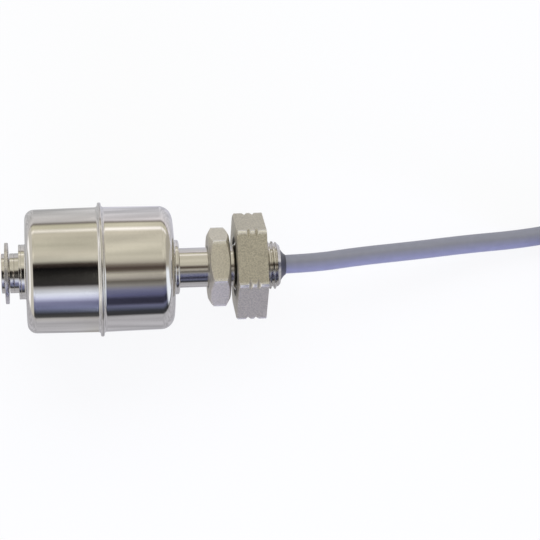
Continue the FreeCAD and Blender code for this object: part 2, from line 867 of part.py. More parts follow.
# The switch is turned about Y until its float's seam and its nut touch the surface.
# The float, which is loose on the stem, lies a little to one side of the stem's axis.
switch = list(parts)
tilt = Placement(Vector(0, 0, 0), Rotation(Vector(0, 1, 0), dimensions["lieTilt"]))
aside = Placement(Vector(0, dimensions["floatShift"], 0), Rotation())
for part in switch:
    part.Placement = tilt * aside if part in floatParts else tilt
box = Part.makeCompound([part.Shape for part in switch]).optimalBoundingBox(False)
middle = Vector(-(box.XMin + box.XMax) / 2, -(box.YMin + box.YMax) / 2, -box.ZMin)
for part in switch:
    part.Placement = Placement(middle, Rotation()) * part.Placement
seat = Placement(middle, tilt.Rotation)

run = makeCableRun(seat)
tinned = "tailEnd + coreTail"
free = [
    makeHank(),
    makeTie(),
    makeTailPiece("cable_tail", "tailStart", "tailEnd - tailStart", "0", "0", "cableRadius"),
    makeTailPiece("core_tail_brown", "tailEnd", "coreTail", "coreSpread", "coreSink", "coreRadius"),
    makeTailPiece("core_tail_blue", "tailEnd", "coreTail", "(-coreSpread)", "coreSink", "coreRadius"),
    makeTailPiece("tinned_end_brown", tinned, "tinnedTail", "coreSpread", "coreSink", "conductorRadius"),
    makeTailPiece("tinned_end_blue", tinned, "tinnedTail", "(-coreSpread)", "coreSink", "conductorRadius"),
]
parts.append(run)
doc.recompute()
for part in free:
    part.Placement = Placement(Vector(dimensions["hankX"], dimensions["hankY"], 0), Rotation())
doc.recompute()

broken = [thing.Label for thing in doc.Objects if {"Invalid", "Error"} & set(thing.State)]
unsound = [part.Label for part in parts if part.Shape.isNull() or not part.Shape.isValid()]
if broken or unsound:
    raise RuntimeError(f"failed objects {broken}, unsound shapes {unsound}")

os.makedirs("parts", exist_ok=True)
for part in parts:
    part.Shape.exportStep(f"parts/{part.Label}.step")
print(len(parts), "parts; the stem's closed end is at", seat.Base)
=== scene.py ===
import json
import math

import bmesh
import bpy
from mathutils import Matrix, Vector


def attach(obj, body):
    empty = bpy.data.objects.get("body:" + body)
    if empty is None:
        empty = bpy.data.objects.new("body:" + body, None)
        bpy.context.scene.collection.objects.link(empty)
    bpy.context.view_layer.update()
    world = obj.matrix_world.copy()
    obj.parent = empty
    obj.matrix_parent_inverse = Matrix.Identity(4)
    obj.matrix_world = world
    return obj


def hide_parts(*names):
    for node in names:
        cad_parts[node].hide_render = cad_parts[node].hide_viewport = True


# Looks for a float level switch that lies on a table, with its cable folded into a hank.
# Lengths in the dictionaries are millimetres and angles are degrees unless a note says otherwise.

mm = 0.001
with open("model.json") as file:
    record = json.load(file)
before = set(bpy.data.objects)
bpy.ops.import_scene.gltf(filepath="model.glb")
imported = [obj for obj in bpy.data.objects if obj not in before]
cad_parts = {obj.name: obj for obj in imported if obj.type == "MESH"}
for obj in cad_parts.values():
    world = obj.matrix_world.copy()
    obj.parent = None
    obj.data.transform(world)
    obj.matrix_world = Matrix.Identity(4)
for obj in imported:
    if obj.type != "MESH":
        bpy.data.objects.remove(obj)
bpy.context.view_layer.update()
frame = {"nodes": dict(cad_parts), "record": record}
nodes = frame["nodes"]
print("frame loaded:", len(nodes), "nodes")

# the stem's axis leans, because the switch rests on the float's rim and on the nut
lean = {
    "seatAlong": 45.7,  # the thread mount's distance from the stem's closed end
    "floatAside": 0.2,  # the loose float lies this far to one side of the axis
}
threadMount = next(m for m in frame["record"]["mounts"] if m["name"] == "thread")
alongStem = Vector(threadMount["axis"]).normalized()
acrossStem = Vector((0, 1, 0))
upFromStem = alongStem.cross(acrossStem)
closedEnd = Vector(threadMount["pos_m"]) - alongStem * lean["seatAlong"] * mm


def onStem(along, across=0, up=0):
    # a place given along the stem, across it and up from its axis
    return closedEnd + (alongStem * along + acrossStem * across + upFromStem * up) * mm


camera = {
    "place": (25.6, -1.2, 450.0),
    "roll": -1.85,
    "lens": 144.6,
    "clip": (0.01, 20),  # metres
}


def makeCamera():
    data = bpy.data.cameras.new("camera")
    data.lens = camera["lens"]
    data.clip_start, data.clip_end = camera["clip"]
    eye = bpy.data.objects.new("camera", data)
    eye.location = Vector(camera["place"]) * mm
    eye.rotation_euler = (0, 0, math.radians(camera["roll"]))
    bpy.context.collection.objects.link(eye)
    bpy.context.scene.camera = eye


makeCamera()
print("camera placed")


class Wire:
    # one output socket: arithmetic on it adds the Math nodes
    def __init__(self, graph, made, output=0):
        self.graph = graph
        self.made = made
        self.socket = made.outputs[output]

    def out(self, name):
        return Wire(self.graph, self.made, name)

    def __add__(self, other):
        return self.graph.math("ADD", self, other)

    def __radd__(self, other):
        return self.graph.math("ADD", other, self)

    def __sub__(self, other):
        return self.graph.math("SUBTRACT", self, other)

    def __rsub__(self, other):
        return self.graph.math("SUBTRACT", other, self)

    def __mul__(self, other):
        return self.graph.math("MULTIPLY", self, other)

    def __rmul__(self, other):
        return self.graph.math("MULTIPLY", other, self)

    def __truediv__(self, other):
        return self.graph.math("DIVIDE", self, other)

    def __rtruediv__(self, other):
        return self.graph.math("DIVIDE", other, self)


class Graph:
    def __init__(self, tree):
        self.tree = tree
        tree.nodes.clear()

    def node(self, kind, settings=None, values=None, output=0):
        made = self.tree.nodes.new(kind)
        for name, value in (settings or {}).items():
            if name == "stops":
                self.setStops(made.color_ramp, value)
            else:
                setattr(made, name, value)
        pairs = values.items() if isinstance(values, dict) else enumerate(values or ())
        for name, value in pairs:
            if isinstance(value, Wire):
                self.tree.links.new(value.socket, made.inputs[name])
            else:
                made.inputs[name].default_value = value
        return Wire(self, made, output) if made.outputs else None

    def setStops(self, ramp, stops):
        for k, (place, colour) in enumerate(stops):
            stop = ramp.elements[k] if k < 2 else ramp.elements.new(place)
            stop.position = place
            stop.color = colour

    def math(self, operation, *values):
        return self.node("ShaderNodeMath", {"operation": operation}, values)

    def vectorMath(self, operation, values, output=0):
        return self.node("ShaderNodeVectorMath", {"operation": operation}, values, output)

    def mixColour(self, share, first, second):
        values = {0: share, 6: first, 7: second}  # the sockets of a colour mix
        return self.node("ShaderNodeMix", {"data_type": "RGBA"}, values, 2)

    def mixShader(self, share, first, second):
        return self.node("ShaderNodeMixShader", None, (share, first, second))

    def noise(self, where, scale, detail=3, rough=0.5):
        values = {"Vector": where, "Scale": scale, "Detail": detail, "Roughness": rough}
        return self.node("ShaderNodeTexNoise", None, values)

    def stretchedNoise(self, where, scale, detail=3, rough=0.5):
        # one scale for each direction
        stretched = self.node("ShaderNodeMapping", None, {"Vector": where, "Scale": scale})
        return self.noise(stretched, 1.0, detail, rough)

    def step(self, value, low, high):
        # smooth change from 0 at low to 1 at high; low may be the larger one
        settings = {"interpolation_type": "SMOOTHSTEP"}
        return self.node("ShaderNodeMapRange", settings, (value, low, high))

    def bump(self, height, strength, depth, normal=None):
        values = {"Height": height, "Strength": strength, "Distance": depth * mm}
        if normal:
            values["Normal"] = normal
        return self.node("ShaderNodeBump", None, values)


def paint(red, green, blue):
    # a colour written as it looks, 0 to 255, made linear for the shaders
    def linear(value):
        share = value / 255
        return share / 12.92 if share <= 0.04045 else ((share + 0.055) / 1.055) ** 2.4
    return (linear(red), linear(green), linear(blue), 1)


def uneven(texture, middle, spread):
    # a roughness that follows a texture, half the spread to each side
    return texture * spread + (middle - spread / 2)


def newMaterial(name):
    material = bpy.data.materials.new(name)
    material.use_nodes = True
    return material, Graph(material.node_tree)


def finishMaterial(graph, **sockets):
    values = {name.replace("_", " "): value for name, value in sockets.items()}
    surface = graph.node("ShaderNodeBsdfPrincipled", None, values)
    graph.node("ShaderNodeOutputMaterial", None, {"Surface": surface})


def inMillimetres(graph, place=None):
    place = place or graph.node("ShaderNodeTexCoord", None, None, "Object")
    return graph.vectorMath("SCALE", {"Vector": place, "Scale": 1 / mm})


def alongSwitch(graph):
    # millimetres with x along the stem, y across it and z up from it
    place = graph.node("ShaderNodeTexCoord", None, None, "Object")
    moved = graph.vectorMath("SUBTRACT", (place, tuple(closedEnd)))
    angle = math.atan2(alongStem.z, alongStem.x)
    turned = graph.node(
        "ShaderNodeVectorRotate", {"rotation_type": "Y_AXIS"}, {"Vector": moved, "Angle": angle}
    )
    return inMillimetres(graph, turned)


# a texture is its scale, detail and roughness, and a bump its strength and depth
polish = {
    "colour": (236, 234, 230),
    "speckColour": (226, 224, 221),
    "rough": 0.06,
    "haze": 0.05,  # spread of the roughness
    "hazeScale": (0.12, 0.5, 0.5),
    "wave": (1 / 5.5, 2, 0.5),
    "waveBump": (1, 0.010),
    "scratches": ((9, 0.5, 0.5), 4, 0.6),
    "scratchBump": (0.6, 0.0022),
    "peel": (3.6, 3, 0.65),
    "peelBump": (0.5, 0.005),
}


def makePolishedSteel():
    # a drawn shell, polished: slow waves, fine scratches round it and a slight peel
    p = polish
    material, graph = newMaterial("polishedSteel")
    where = alongSwitch(graph)
    wave = graph.noise(where, *p["wave"])
    scratches = graph.stretchedNoise(where, *p["scratches"])
    peel = graph.noise(where, *p["peel"])
    normal = graph.bump(wave, *p["waveBump"])
    normal = graph.bump(scratches, *p["scratchBump"], normal)
    normal = graph.bump(peel, *p["peelBump"], normal)
    rough = uneven(graph.stretchedNoise(where, p["hazeScale"]), p["rough"], p["haze"])
    colour = graph.mixColour(peel, paint(*p["speckColour"]), paint(*p["colour"]))
    finishMaterial(graph, Base_Color=colour, Metallic=1.0, Roughness=rough, Normal=normal)
    return material


turning = {
    "colour": (232, 230, 226),
    "speckColour": (220, 218, 214),
    "rough": 0.13,
    "haze": 0.08,
    "rings": ((1 / 0.16, 0.15, 0.15), 3, 0.5),
    "ringBump": (0.8, 0.0016),
    "specks": (3.1, 4, 0.65),
    "speckBump": (0.4, 0.0016),
}


def makeTurnedSteel():
    # fine rings from the lathe
    t = turning
    material, graph = newMaterial("turnedSteel")
    where = alongSwitch(graph)
    rings = graph.stretchedNoise(where, *t["rings"])
    specks = graph.noise(where, *t["specks"])
    normal = graph.bump(rings, *t["ringBump"])
    normal = graph.bump(specks, *t["speckBump"], normal)
    rough = uneven(rings, t["rough"], t["haze"])
    colour = graph.mixColour(specks, paint(*t["speckColour"]), paint(*t["colour"]))
    finishMaterial(graph, Base_Color=colour, Metallic=1.0, Roughness=rough, Normal=normal)
    return material


satin = {
    "metallic": 0.72,
    "rough": 0.36,
    "haze": 0.12,
    "hazeScale": 0.55,
    "grain": (3.4, 5, 0.7),
    "grainBump": (0.7, 0.022),
    "grainTones": (0.36, 0.62),  # where the grain goes from dark to light
    "brush": ((0.35, 5.0, 5.0), 4, 0.6),
    "brushBump": (0.5, 0.006),
    # painted highlight on the corners: a light colour that stands in for the light the edges
    # catch
    "paintedHighlight": (236, 233, 222),
    "paintedHighlightShare": 0.7,
    "paintedHighlightRagged": 0.5,  # how far the grain moves the edge of the painted highlight on the corners
    "paintedHighlightFade": 0.2,
    "paintedHighlightGloss": 0.1,  # taken off the roughness where the corners get the painted highlight
    # painted shade round the bore: a dark colour that stands in for the shadow where the face
    # meets the stem or the stud
    "paintedShade": (44, 42, 39),
    "paintedShadeShare": 0.9,
    "paintedShadeRagged": 0.4,
    "paintedShadeFade": 0.3,
}

# tones of the two bars, with the distance from the axis where the corners get a painted highlight
# and the distance within which the bore gets painted shade
nickelBars = {
    "hexagonNickel": {
        "light": (222, 215, 196),
        "dark": (196, 190, 172),
        "cornerFrom": 7.75,
        "boreTo": 4.2,
    },
    "nutNickel": {
        "light": (206, 199, 178),
        "dark": (172, 166, 148),
        "cornerFrom": 10.6,
        "boreTo": 5.9,
    },
}


def makeSatinNickel(name):
    # drawn bar, plated: a matt grain and fine lines along the axis, with a painted highlight on
    # the corners and painted shade round the bore
    s = satin
    bar = nickelBars[name]
    material, graph = newMaterial(name)
    where = alongSwitch(graph)
    grain = graph.noise(where, *s["grain"])
    lines = graph.stretchedNoise(where, *s["brush"])
    normal = graph.bump(grain, *s["grainBump"])
    normal = graph.bump(lines, *s["brushBump"], normal)
    parts = graph.node("ShaderNodeSeparateXYZ", None, {0: where})
    across = parts.out("Y")
    up = parts.out("Z")
    fromAxis = graph.math("SQRT", across * across + up * up)
    towardCorner = fromAxis + (grain - 0.5) * s["paintedHighlightRagged"]
    towardBore = fromAxis + (grain - 0.5) * s["paintedShadeRagged"]
    # mask of the painted highlight on the corners, far from the axis
    corner = graph.step(towardCorner, bar["cornerFrom"], bar["cornerFrom"] + s["paintedHighlightFade"])
    # mask of the painted shade round the bore
    bore = graph.step(towardBore, bar["boreTo"] + s["paintedShadeFade"], bar["boreTo"])
    haze = graph.noise(where, s["hazeScale"])
    rough = uneven(haze, s["rough"], s["haze"]) - corner * s["paintedHighlightGloss"]
    colour = graph.mixColour(
        graph.step(grain, *s["grainTones"]), paint(*bar["dark"]), paint(*bar["light"])
    )
    # the corners lightened: a painted highlight
    colour = graph.mixColour(corner * s["paintedHighlightShare"], colour, paint(*s["paintedHighlight"]))
    # the bore darkened: painted shade
    colour = graph.mixColour(bore * s["paintedShadeShare"], colour, paint(*s["paintedShade"]))
    finishMaterial(
        graph, Base_Color=colour, Metallic=s["metallic"], Roughness=rough, Normal=normal
    )
    return material


spring = {
    "colour": (216, 212, 205),
    "smearColour": (196, 192, 186),
    "metallic": 0.85,
    "rough": 0.275,
    "haze": 0.15,
    "grain": (4.0, 4, 0.7),
    "grainBump": (0.5, 0.0012),
    "smear": (0.8, 2, 0.5),
}


def makeSpringSteel():
    s = spring
    material, graph = newMaterial("springSteel")
    where = alongSwitch(graph)
    grain = graph.noise(where, *s["grain"])
    smear = graph.noise(where, *s["smear"])
    normal = graph.bump(grain, *s["grainBump"])
    rough = uneven(grain, s["rough"], s["haze"])
    colour = graph.mixColour(smear, paint(*s["smearColour"]), paint(*s["colour"]))
    finishMaterial(
        graph, Base_Color=colour, Metallic=s["metallic"], Roughness=rough, Normal=normal
    )
    return material


# each row: light tone, dark tone, roughness, scale and depth of the grain, metallic
plainFinishes = {
    "jacket": ((134, 134, 141), (124, 124, 131), 0.42, 2.2, 0.012, 0),
    "resin": ((72, 72, 78), (54, 54, 60), 0.3, 1.6, 0.02, 0),
    "silicone": ((222, 222, 216), (206, 206, 200), 0.5, 2.0, 0.008, 0),
    "reedAlloy": ((205, 200, 190), (188, 183, 172), 0.25, 5.0, 0.003, 1),
    "copper": ((214, 150, 104), (192, 126, 84), 0.28, 5.0, 0.003, 1),
    "tinnedCopper": ((206, 206, 204), (184, 184, 182), 0.3, 5.0, 0.006, 1),
    "brownCore": ((104, 66, 42), (90, 56, 36), 0.4, 2.5, 0.006, 0),
    "blueCore": ((46, 98, 168), (38, 86, 152), 0.4, 2.5, 0.006, 0),
    "nylon": ((38, 38, 40), (30, 30, 32), 0.38, 3.0, 0.006, 0),
    "ferrite": ((78, 78, 82), (62, 62, 66), 0.55, 3.0, 0.02, 0),
    "spacerPlastic": ((224, 221, 210), (212, 209, 198), 0.45, 2.0, 0.01, 0),
}

plainGrain = {
    "toneScale": 0.3,  # of the grain's own scale
    "detail": 4,
    "roughness": 0.6,
    "bump": 0.6,
    "haze": 0.14,
}


def makePlain(name):
    # a moulded, cast or drawn finish: two close tones, a grain and an uneven gloss
    g = plainGrain
    light, dark, middle, scale, depth, metallic = plainFinishes[name]
    material, graph = newMaterial(name)
    where = inMillimetres(graph)
    tone = graph.noise(where, scale * g["toneScale"])
    grain = graph.noise(where, scale, g["detail"], g["roughness"])
    normal = graph.bump(grain, g["bump"], depth)
    rough = uneven(grain, middle, g["haze"])
    colour = graph.mixColour(tone, paint(*dark), paint(*light))
    finishMaterial(graph, Base_Color=colour, Metallic=metallic, Roughness=rough, Normal=normal)
    return material


glass = {
    "colour": (214, 236, 222),
    "rough": 0.05,
    "refraction": 1.5,
    "streaks": ((0.2, 2, 2), 2, 0.5),
    "streakBump": (0.3, 0.004),
}


def makeClearGlass():
    g = glass
    material, graph = newMaterial("reedGlass")
    streaks = graph.stretchedNoise(inMillimetres(graph), *g["streaks"])
    normal = graph.bump(streaks, *g["streakBump"])
    finishMaterial(
        graph,
        Base_Color=paint(*g["colour"]),
        Roughness=g["rough"],
        Normal=normal,
        IOR=g["refraction"],
        Transmission_Weight=1.0,
    )
    return material


finishes = {
    "polishedSteel": makePolishedSteel(),
    "turnedSteel": makeTurnedSteel(),
    "springSteel": makeSpringSteel(),
    "reedGlass": makeClearGlass(),
}
finishes.update((name, makeSatinNickel(name)) for name in nickelBars)
finishes.update((name, makePlain(name)) for name in plainFinishes)
print("finishes made:", len(finishes))


def newPiece(name, mesh, finish, body, replaced=()):
    piece = bpy.data.objects.new(name, mesh)
    bpy.context.collection.objects.link(piece)
    mesh.materials.clear()
    mesh.materials.append(finishes[finish])
    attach(piece, body)
    if replaced:
        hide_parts(*replaced)
    return piece


def applyModifiers(piece):
    seen = bpy.context.evaluated_depsgraph_get()
    seen.update()
    mesh = bpy.data.meshes.new_from_object(piece.evaluated_get(seen))
    piece.modifiers.clear()
    piece.data = mesh


shading = {
    "smoothWithin": 32,
    "flatWeight": 80,  # how firmly large faces keep their own direction
    "softenOver": 25,  # edges that turn more than this are rounded
    "softenSteps": 2,
}


def smoothShading(mesh, angle=shading["smoothWithin"]):
    mesh.polygons.foreach_set("use_smooth", [True] * len(mesh.polygons))
    mesh.set_sharp_from_angle(angle=math.radians(angle))


def evenShading(piece):
    # large faces keep their own direction, so that only the rounded edges shade round
    smoothShading(piece.data)
    modifier = piece.modifiers.new("evenShading", "WEIGHTED_NORMAL")
    modifier.keep_sharp = True
    modifier.weight = shading["flatWeight"]
    applyModifiers(piece)


def boolean(piece, operation, mesh):
    cutter = bpy.data.objects.new("cutter", mesh)
    bpy.context.collection.objects.link(cutter)
    modifier = piece.modifiers.new("cut", "BOOLEAN")
    modifier.operation = operation
    modifier.solver = "EXACT"
    modifier.object = cutter
    applyModifiers(piece)
    bpy.data.objects.remove(cutter)


def softenEdges(piece, width):
    modifier = piece.modifiers.new("edges", "BEVEL")
    modifier.width = width * mm
    modifier.segments = shading["softenSteps"]
    modifier.limit_method = "ANGLE"
    modifier.angle_limit = math.radians(shading["softenOver"])
    modifier.use_clamp_overlap = True
    applyModifiers(piece)


def meshFrom(work, name, outward=True):
    # ends the work on a mesh and gives it its name
    if outward:
        bmesh.ops.recalc_face_normals(work, faces=work.faces)
    mesh = bpy.data.meshes.new(name)
    work.to_mesh(mesh)
    work.free()
    return mesh


def skin(work, rings, capped=False):
    # faces from each ring of points to the next; a ring of one point makes a tip
    for first, second in zip(rings, rings[1:]):
        sides = max(len(first), len(second))
        if sides == 1:
            continue
        for k in range(sides):
            after = (k + 1) % sides
            loop = [(first, k), (first, after), (second, after), (second, k)]
            corners = [ring[n % len(ring)] for ring, n in loop]
            work.faces.new(list(dict.fromkeys(corners)))
    if capped:
        work.faces.new(rings[0])
        work.faces.new(reversed(rings[-1]))


def around(count):
    # the angles of evenly spaced points on one turn
    return [2 * math.pi * k / count for k in range(count)]


def roundedOutline(corners, step=12):
    # corners are (along, out, radius); a radius over 0 puts an arc there
    points = []
    for k, (along, out, radius) in enumerate(corners):
        here = Vector((along, out))
        if radius <= 0:
            points.append(here)
            continue
        before = (Vector(corners[k - 1][:2]) - here).normalized()
        after = (Vector(corners[(k + 1) % len(corners)][:2]) - here).normalized()
        half = before.angle(after) / 2
        middle = here + (before + after).normalized() * (radius / math.sin(half))
        start = here + before * (radius / math.tan(half)) - middle
        sweep = math.pi - 2 * half
        side = 1 if start.cross(here - middle) > 0 else -1
        parts = max(2, math.ceil(math.degrees(sweep) / step))
        for n in range(parts + 1):
            points.append(middle + Matrix.Rotation(side * sweep * n / parts, 2) @ start)
    return points


def latheMesh(name, outline, sides=192, aside=0):
    # a closed outline of (along, out) points, turned once about the stem's direction
    work = bmesh.new()
    rings = []
    for along, out in outline:
        angles = around(sides) if out else [0]
        rings.append([
            work.verts.new(onStem(along, aside + out * math.sin(angle), out * math.cos(angle)))
            for angle in angles
        ])
    skin(work, rings + rings[:1])
    return meshFrom(work, name)


def lathePiece(name, corners, finish, body, slot, node, sides=192, aside=0):
    mesh = latheMesh(name, roundedOutline(corners), sides, aside)
    evenShading(newPiece(name, mesh, finish, body, [node]))


def blockMesh(name, size, middle):
    work = bmesh.new()
    sized = Matrix.Diagonal((*(Vector(size) * mm), 1))
    bmesh.ops.create_cube(work, size=1, matrix=Matrix.Translation(middle) @ sized)
    return meshFrom(work, name)


stem = {
    "radius": 4.0,
    "bore": 3.0,
    "start": 2.6,
    "end": 45.0,
    "edge": 0.06,
    "tipEdge": 0.16,
    "groove": (0.7, 1.7),
    "grooveRadius": 3.0,
    "grooveEdges": (0.05, 0.08),
    "grooveFillet": 0.03,
    "spigotEnd": 4.8,
}


def makeStem():
    s = stem
    r = s["radius"]
    grooveStart, grooveEnd = s["groove"]
    startEdge, endEdge = s["grooveEdges"]
    lathePiece("stemTube", [
        (s["start"], r, s["edge"]),
        (s["end"], r, 0),
        (s["end"], s["bore"], 0),
        (s["start"], s["bore"], 0),
    ], "turnedSteel", "stem", "stainless", "stem_tube")
    lathePiece("stemEnd", [
        (0, 0, 0),
        (0, r, s["tipEdge"]),
        (grooveStart, r, startEdge),
        (grooveStart, s["grooveRadius"], s["grooveFillet"]),
        (grooveEnd, s["grooveRadius"], s["grooveFillet"]),
        (grooveEnd, r, endEdge),
        (s["start"], r, s["edge"]),
        (s["start"], s["bore"], 0),
        (s["spigotEnd"], s["bore"], 0),
        (s["spigotEnd"], 0, 0),
    ], "turnedSteel", "stem", "stainless", "stem_end_plug")


clip = {
    "edge": 0.07,
    "sameWithin": 0.0005,
    "flatWithin": 2.0,
}


def makeClip():
    # the punched ring keeps its own mesh, with one face for each flat and its edges rounded
    work = bmesh.new()
    work.from_mesh(nodes["retaining_clip"].data)
    bmesh.ops.remove_doubles(work, verts=work.verts, dist=clip["sameWithin"] * mm)
    bmesh.ops.dissolve_limit(
        work, angle_limit=math.radians(clip["flatWithin"]), verts=work.verts, edges=work.edges
    )
    mesh = meshFrom(work, "retainingClip", outward=False)
    piece = newPiece(
        "retainingClip", mesh, "springSteel", "stem", ["retaining_clip"]
    )
    softenEdges(piece, clip["edge"])
    evenShading(piece)


makeStem()
makeClip()
print("stem made")

floatShape = {
    "wall": 0.25,
    "bore": 5.0,
    "neck": 5.5,
    "neckEdge": 0.05,
    "neckFillet": 0.3,
    "lowerNeckFillet": 0.35,
    "lowerLip": (3.5, 4.0),
    "lipEdges": (0.08, 0.07),
    "lowerFace": 4.9,
    "lowerCorner": 1.9,
    "endRadius": 12.4,
    "seam": 19.85,
    "seamRadius": 12.58,
    "seamGap": 0.01,  # from each shell's edge to the seam's middle
    "seamEdge": 0.06,
    "rimRadius": 13.5,
    "rimHalf": 0.35,
    "rimEdge": 0.27,
    "rimFillet": 0.52,
    "shoulder": (34.35, 9.2),
    "shoulderFillet": 0.6,
    "upperCorner": 2.7,
    "upperFace": 34.6,
    "bead": (35.1, 35.55),
    "beadEdge": 0.38,
    "beadFootEdges": (0.04, 0.06),  # the shell's and the inner tube's
    "sides": 320,
    "tubeSides": 256,
}


def makeFloat():
    f = floatShape
    wall = f["wall"]
    neck = f["neck"]
    inner = neck - wall
    rimBase = f["seamRadius"]
    rim = f["rimRadius"]
    end = f["endRadius"]
    face = f["lowerFace"]
    corner = f["lowerCorner"]
    neckFillet = f["neckFillet"]
    lip, lipEnd = f["lowerLip"]
    beadStart, top = f["bead"]
    shellFoot, tubeFoot = f["beadFootEdges"]
    rimStart = f["seam"] - f["rimHalf"]
    rimEnd = f["seam"] + f["rimHalf"]
    seamBelow = f["seam"] - f["seamGap"]
    seamAbove = f["seam"] + f["seamGap"]
    shell = ("polishedSteel", "float", "polished_steel")
    aside = lean["floatAside"]
    lathePiece("floatLowerShell", [
        (lipEnd, neck, f["neckEdge"]),
        (face, neck, f["lowerNeckFillet"]),
        (face, end, corner),
        (rimStart, rimBase, f["rimFillet"]),
        (rimStart, rim, f["rimEdge"]),
        (seamBelow, rim, f["seamEdge"]),
        (seamBelow, rimBase - wall, 0),
        (face + wall, end - wall, corner - wall),
        (face + wall, inner, neckFillet),
        (lipEnd, inner, 0),
    ], *shell, "float_lower_shell", f["sides"], aside)
    shoulder, shoulderRadius = f["shoulder"]
    fillet = f["shoulderFillet"]
    corner = f["upperCorner"]
    face = f["upperFace"]
    lathePiece("floatUpperShell", [
        (seamAbove, rimBase - wall, 0),
        (seamAbove, rim, f["seamEdge"]),
        (rimEnd, rim, f["rimEdge"]),
        (rimEnd, rimBase, f["rimFillet"]),
        (shoulder, end, corner),
        (shoulder, shoulderRadius, fillet),
        (face, neck, neckFillet),
        (beadStart, neck, shellFoot),
        (beadStart, inner, 0),
        (face - wall, inner, neckFillet),
        (shoulder - wall, shoulderRadius, fillet),
        (shoulder - wall, end - wall, corner - wall),
    ], *shell, "float_upper_shell", f["sides"], aside)
    boreEdge, lipEdge = f["lipEdges"]
    lathePiece("floatInnerTube", [
        (lip, f["bore"], boreEdge),
        (lip, neck, lipEdge),
        (lipEnd, neck, lipEdge),
        (lipEnd, inner, 0),
        (beadStart, inner, 0),
        (beadStart, neck, tubeFoot),
        (top, neck, f["beadEdge"]),
        (top, f["bore"], boreEdge),
    ], *shell, "float_inner_tube", f["tubeSides"], aside)


makeFloat()
print("float made")

thread = {
    "radius": 4.864,
    "root": 4.283,
    "pitch": 0.907,
    "flank": 27.5,  # half of the thread's angle
    "start": 46.1,
    "end": 56.6,
    "cutTo": 5.0,
    "rootFlat": 0.05,  # half of the flat at the groove's root
    "steps": 72,
    "offset": 0.23,  # of a step: keeps the groove's rings off the stud's own edges
}

hexBody = {
    "flats": 14.0,
    "turn": 38.6,
    "start": 41.4,
    "end": 45.7,
    "bore": 3.0,
    "socket": 4.0,
    "socketEnd": 45.0,
    "chamferFrom": 6.5,
    "chamferSlope": 30.0,
    "turnedTo": 8.3,  # past the corners
    "edge": 0.06,
    "spare": 1.0,  # the bar's extra length at each end, before it is turned
    "sides": 240,
}

stud = {
    "bore": 3.02,
    "start": 45.4,  # a little inside the hexagon
    "reliefRadius": 4.1,
    "reliefEnd": 46.5,
    "threadFrom": 46.9,
    "end": 55.95,
    "endChamfer": 0.9,
    "sides": 144,
}

nut = {
    "flats": 19.0,
    "start": 46.85,
    "thickness": 6.0,
    "corner": 0.25,  # from the sharp corner to the flat that breaks it
    "bore": 4.92,
    "countersink": (1.05, 0.9),  # outward and inward
    "frontCorner": 10.42,
    "backCorner": 10.8,
    "cornerSlope": 34.0,
    "grooves": (2.35, 3.95),
    "grooveHalf": 0.62,
    "grooveRoot": 10.33,
    "turnedTo": 11.2,
    "edge": 0.07,
    "spare": 1.0,
    "sides": 288,
}


def prismMesh(name, flats, turn, first, last, cornerFlat=0):
    # a hexagonal bar; a flat may break each of its six long edges
    def corner(k):
        angle = math.radians(turn + 60 * k)
        return Vector((math.sin(angle), math.cos(angle))) * flats / math.sqrt(3)

    outline = []
    for k in range(6):
        if cornerFlat:
            for neighbour in (k - 1, k + 1):
                toward = (corner(neighbour) - corner(k)).normalized()
                outline.append(corner(k) + toward * cornerFlat)
        else:
            outline.append(corner(k))
    work = bmesh.new()
    rings = [
        [work.verts.new(onStem(along, across, up)) for across, up in outline]
        for along in (first, last)
    ]
    skin(work, rings, capped=True)
    return meshFrom(work, name)


def threadCutter():
    # the V groove between the crests, wound along the stud
    t = thread
    reach = (t["cutTo"] - t["root"]) * math.tan(math.radians(t["flank"])) + t["rootFlat"]
    section = [
        (-reach, t["cutTo"]),
        (-t["rootFlat"], t["root"]),
        (t["rootFlat"], t["root"]),
        (reach, t["cutTo"]),
    ]
    work = bmesh.new()
    rings = []
    for k in range(int((t["end"] - t["start"]) / t["pitch"] * t["steps"]) + 1):
        turns = (k + t["offset"]) / t["steps"]
        angle = -2 * math.pi * turns
        along = t["start"] + t["pitch"] * turns
        rings.append([
            work.verts.new(
                onStem(along + shift, radius * math.sin(angle), radius * math.cos(angle))
            )
            for shift, radius in section
        ])
    skin(work, rings, capped=True)
    return meshFrom(work, "threadCutter")


def makeHexBody():
    h = hexBody
    rise = math.tan(math.radians(h["chamferSlope"])) * (h["turnedTo"] - h["chamferFrom"])
    first = h["start"] - h["spare"]
    last = h["end"] + h["spare"]
    bar = prismMesh("hexBar", h["flats"], h["turn"], first, last)
    piece = newPiece("threadedBody", bar, "hexagonNickel", "stem", ["hex_body"])
    boolean(piece, "INTERSECT", latheMesh("hexTurned", [
        (h["start"], h["socket"]),
        (h["start"], h["chamferFrom"]),
        (h["start"] + rise, h["turnedTo"]),
        (h["end"] - rise, h["turnedTo"]),
        (h["end"], h["chamferFrom"]),
        (h["end"], h["bore"]),
        (h["socketEnd"], h["bore"]),
        (h["socketEnd"], h["socket"]),
    ], h["sides"]))
    softenEdges(piece, h["edge"])
    evenShading(piece)


def makeStud():
    s = stud
    crest = thread["radius"]
    turned = latheMesh("stud", [
        (s["start"], s["bore"]),
        (s["start"], s["reliefRadius"]),
        (s["reliefEnd"], s["reliefRadius"]),
        (s["threadFrom"], crest),
        (s["end"] - s["endChamfer"], crest),
        (s["end"], crest - s["endChamfer"]),
        (s["end"], s["bore"]),
    ], s["sides"])
    piece = newPiece("threadedStud", turned, "turnedSteel", "stem")
    boolean(piece, "DIFFERENCE", threadCutter())
    evenShading(piece)


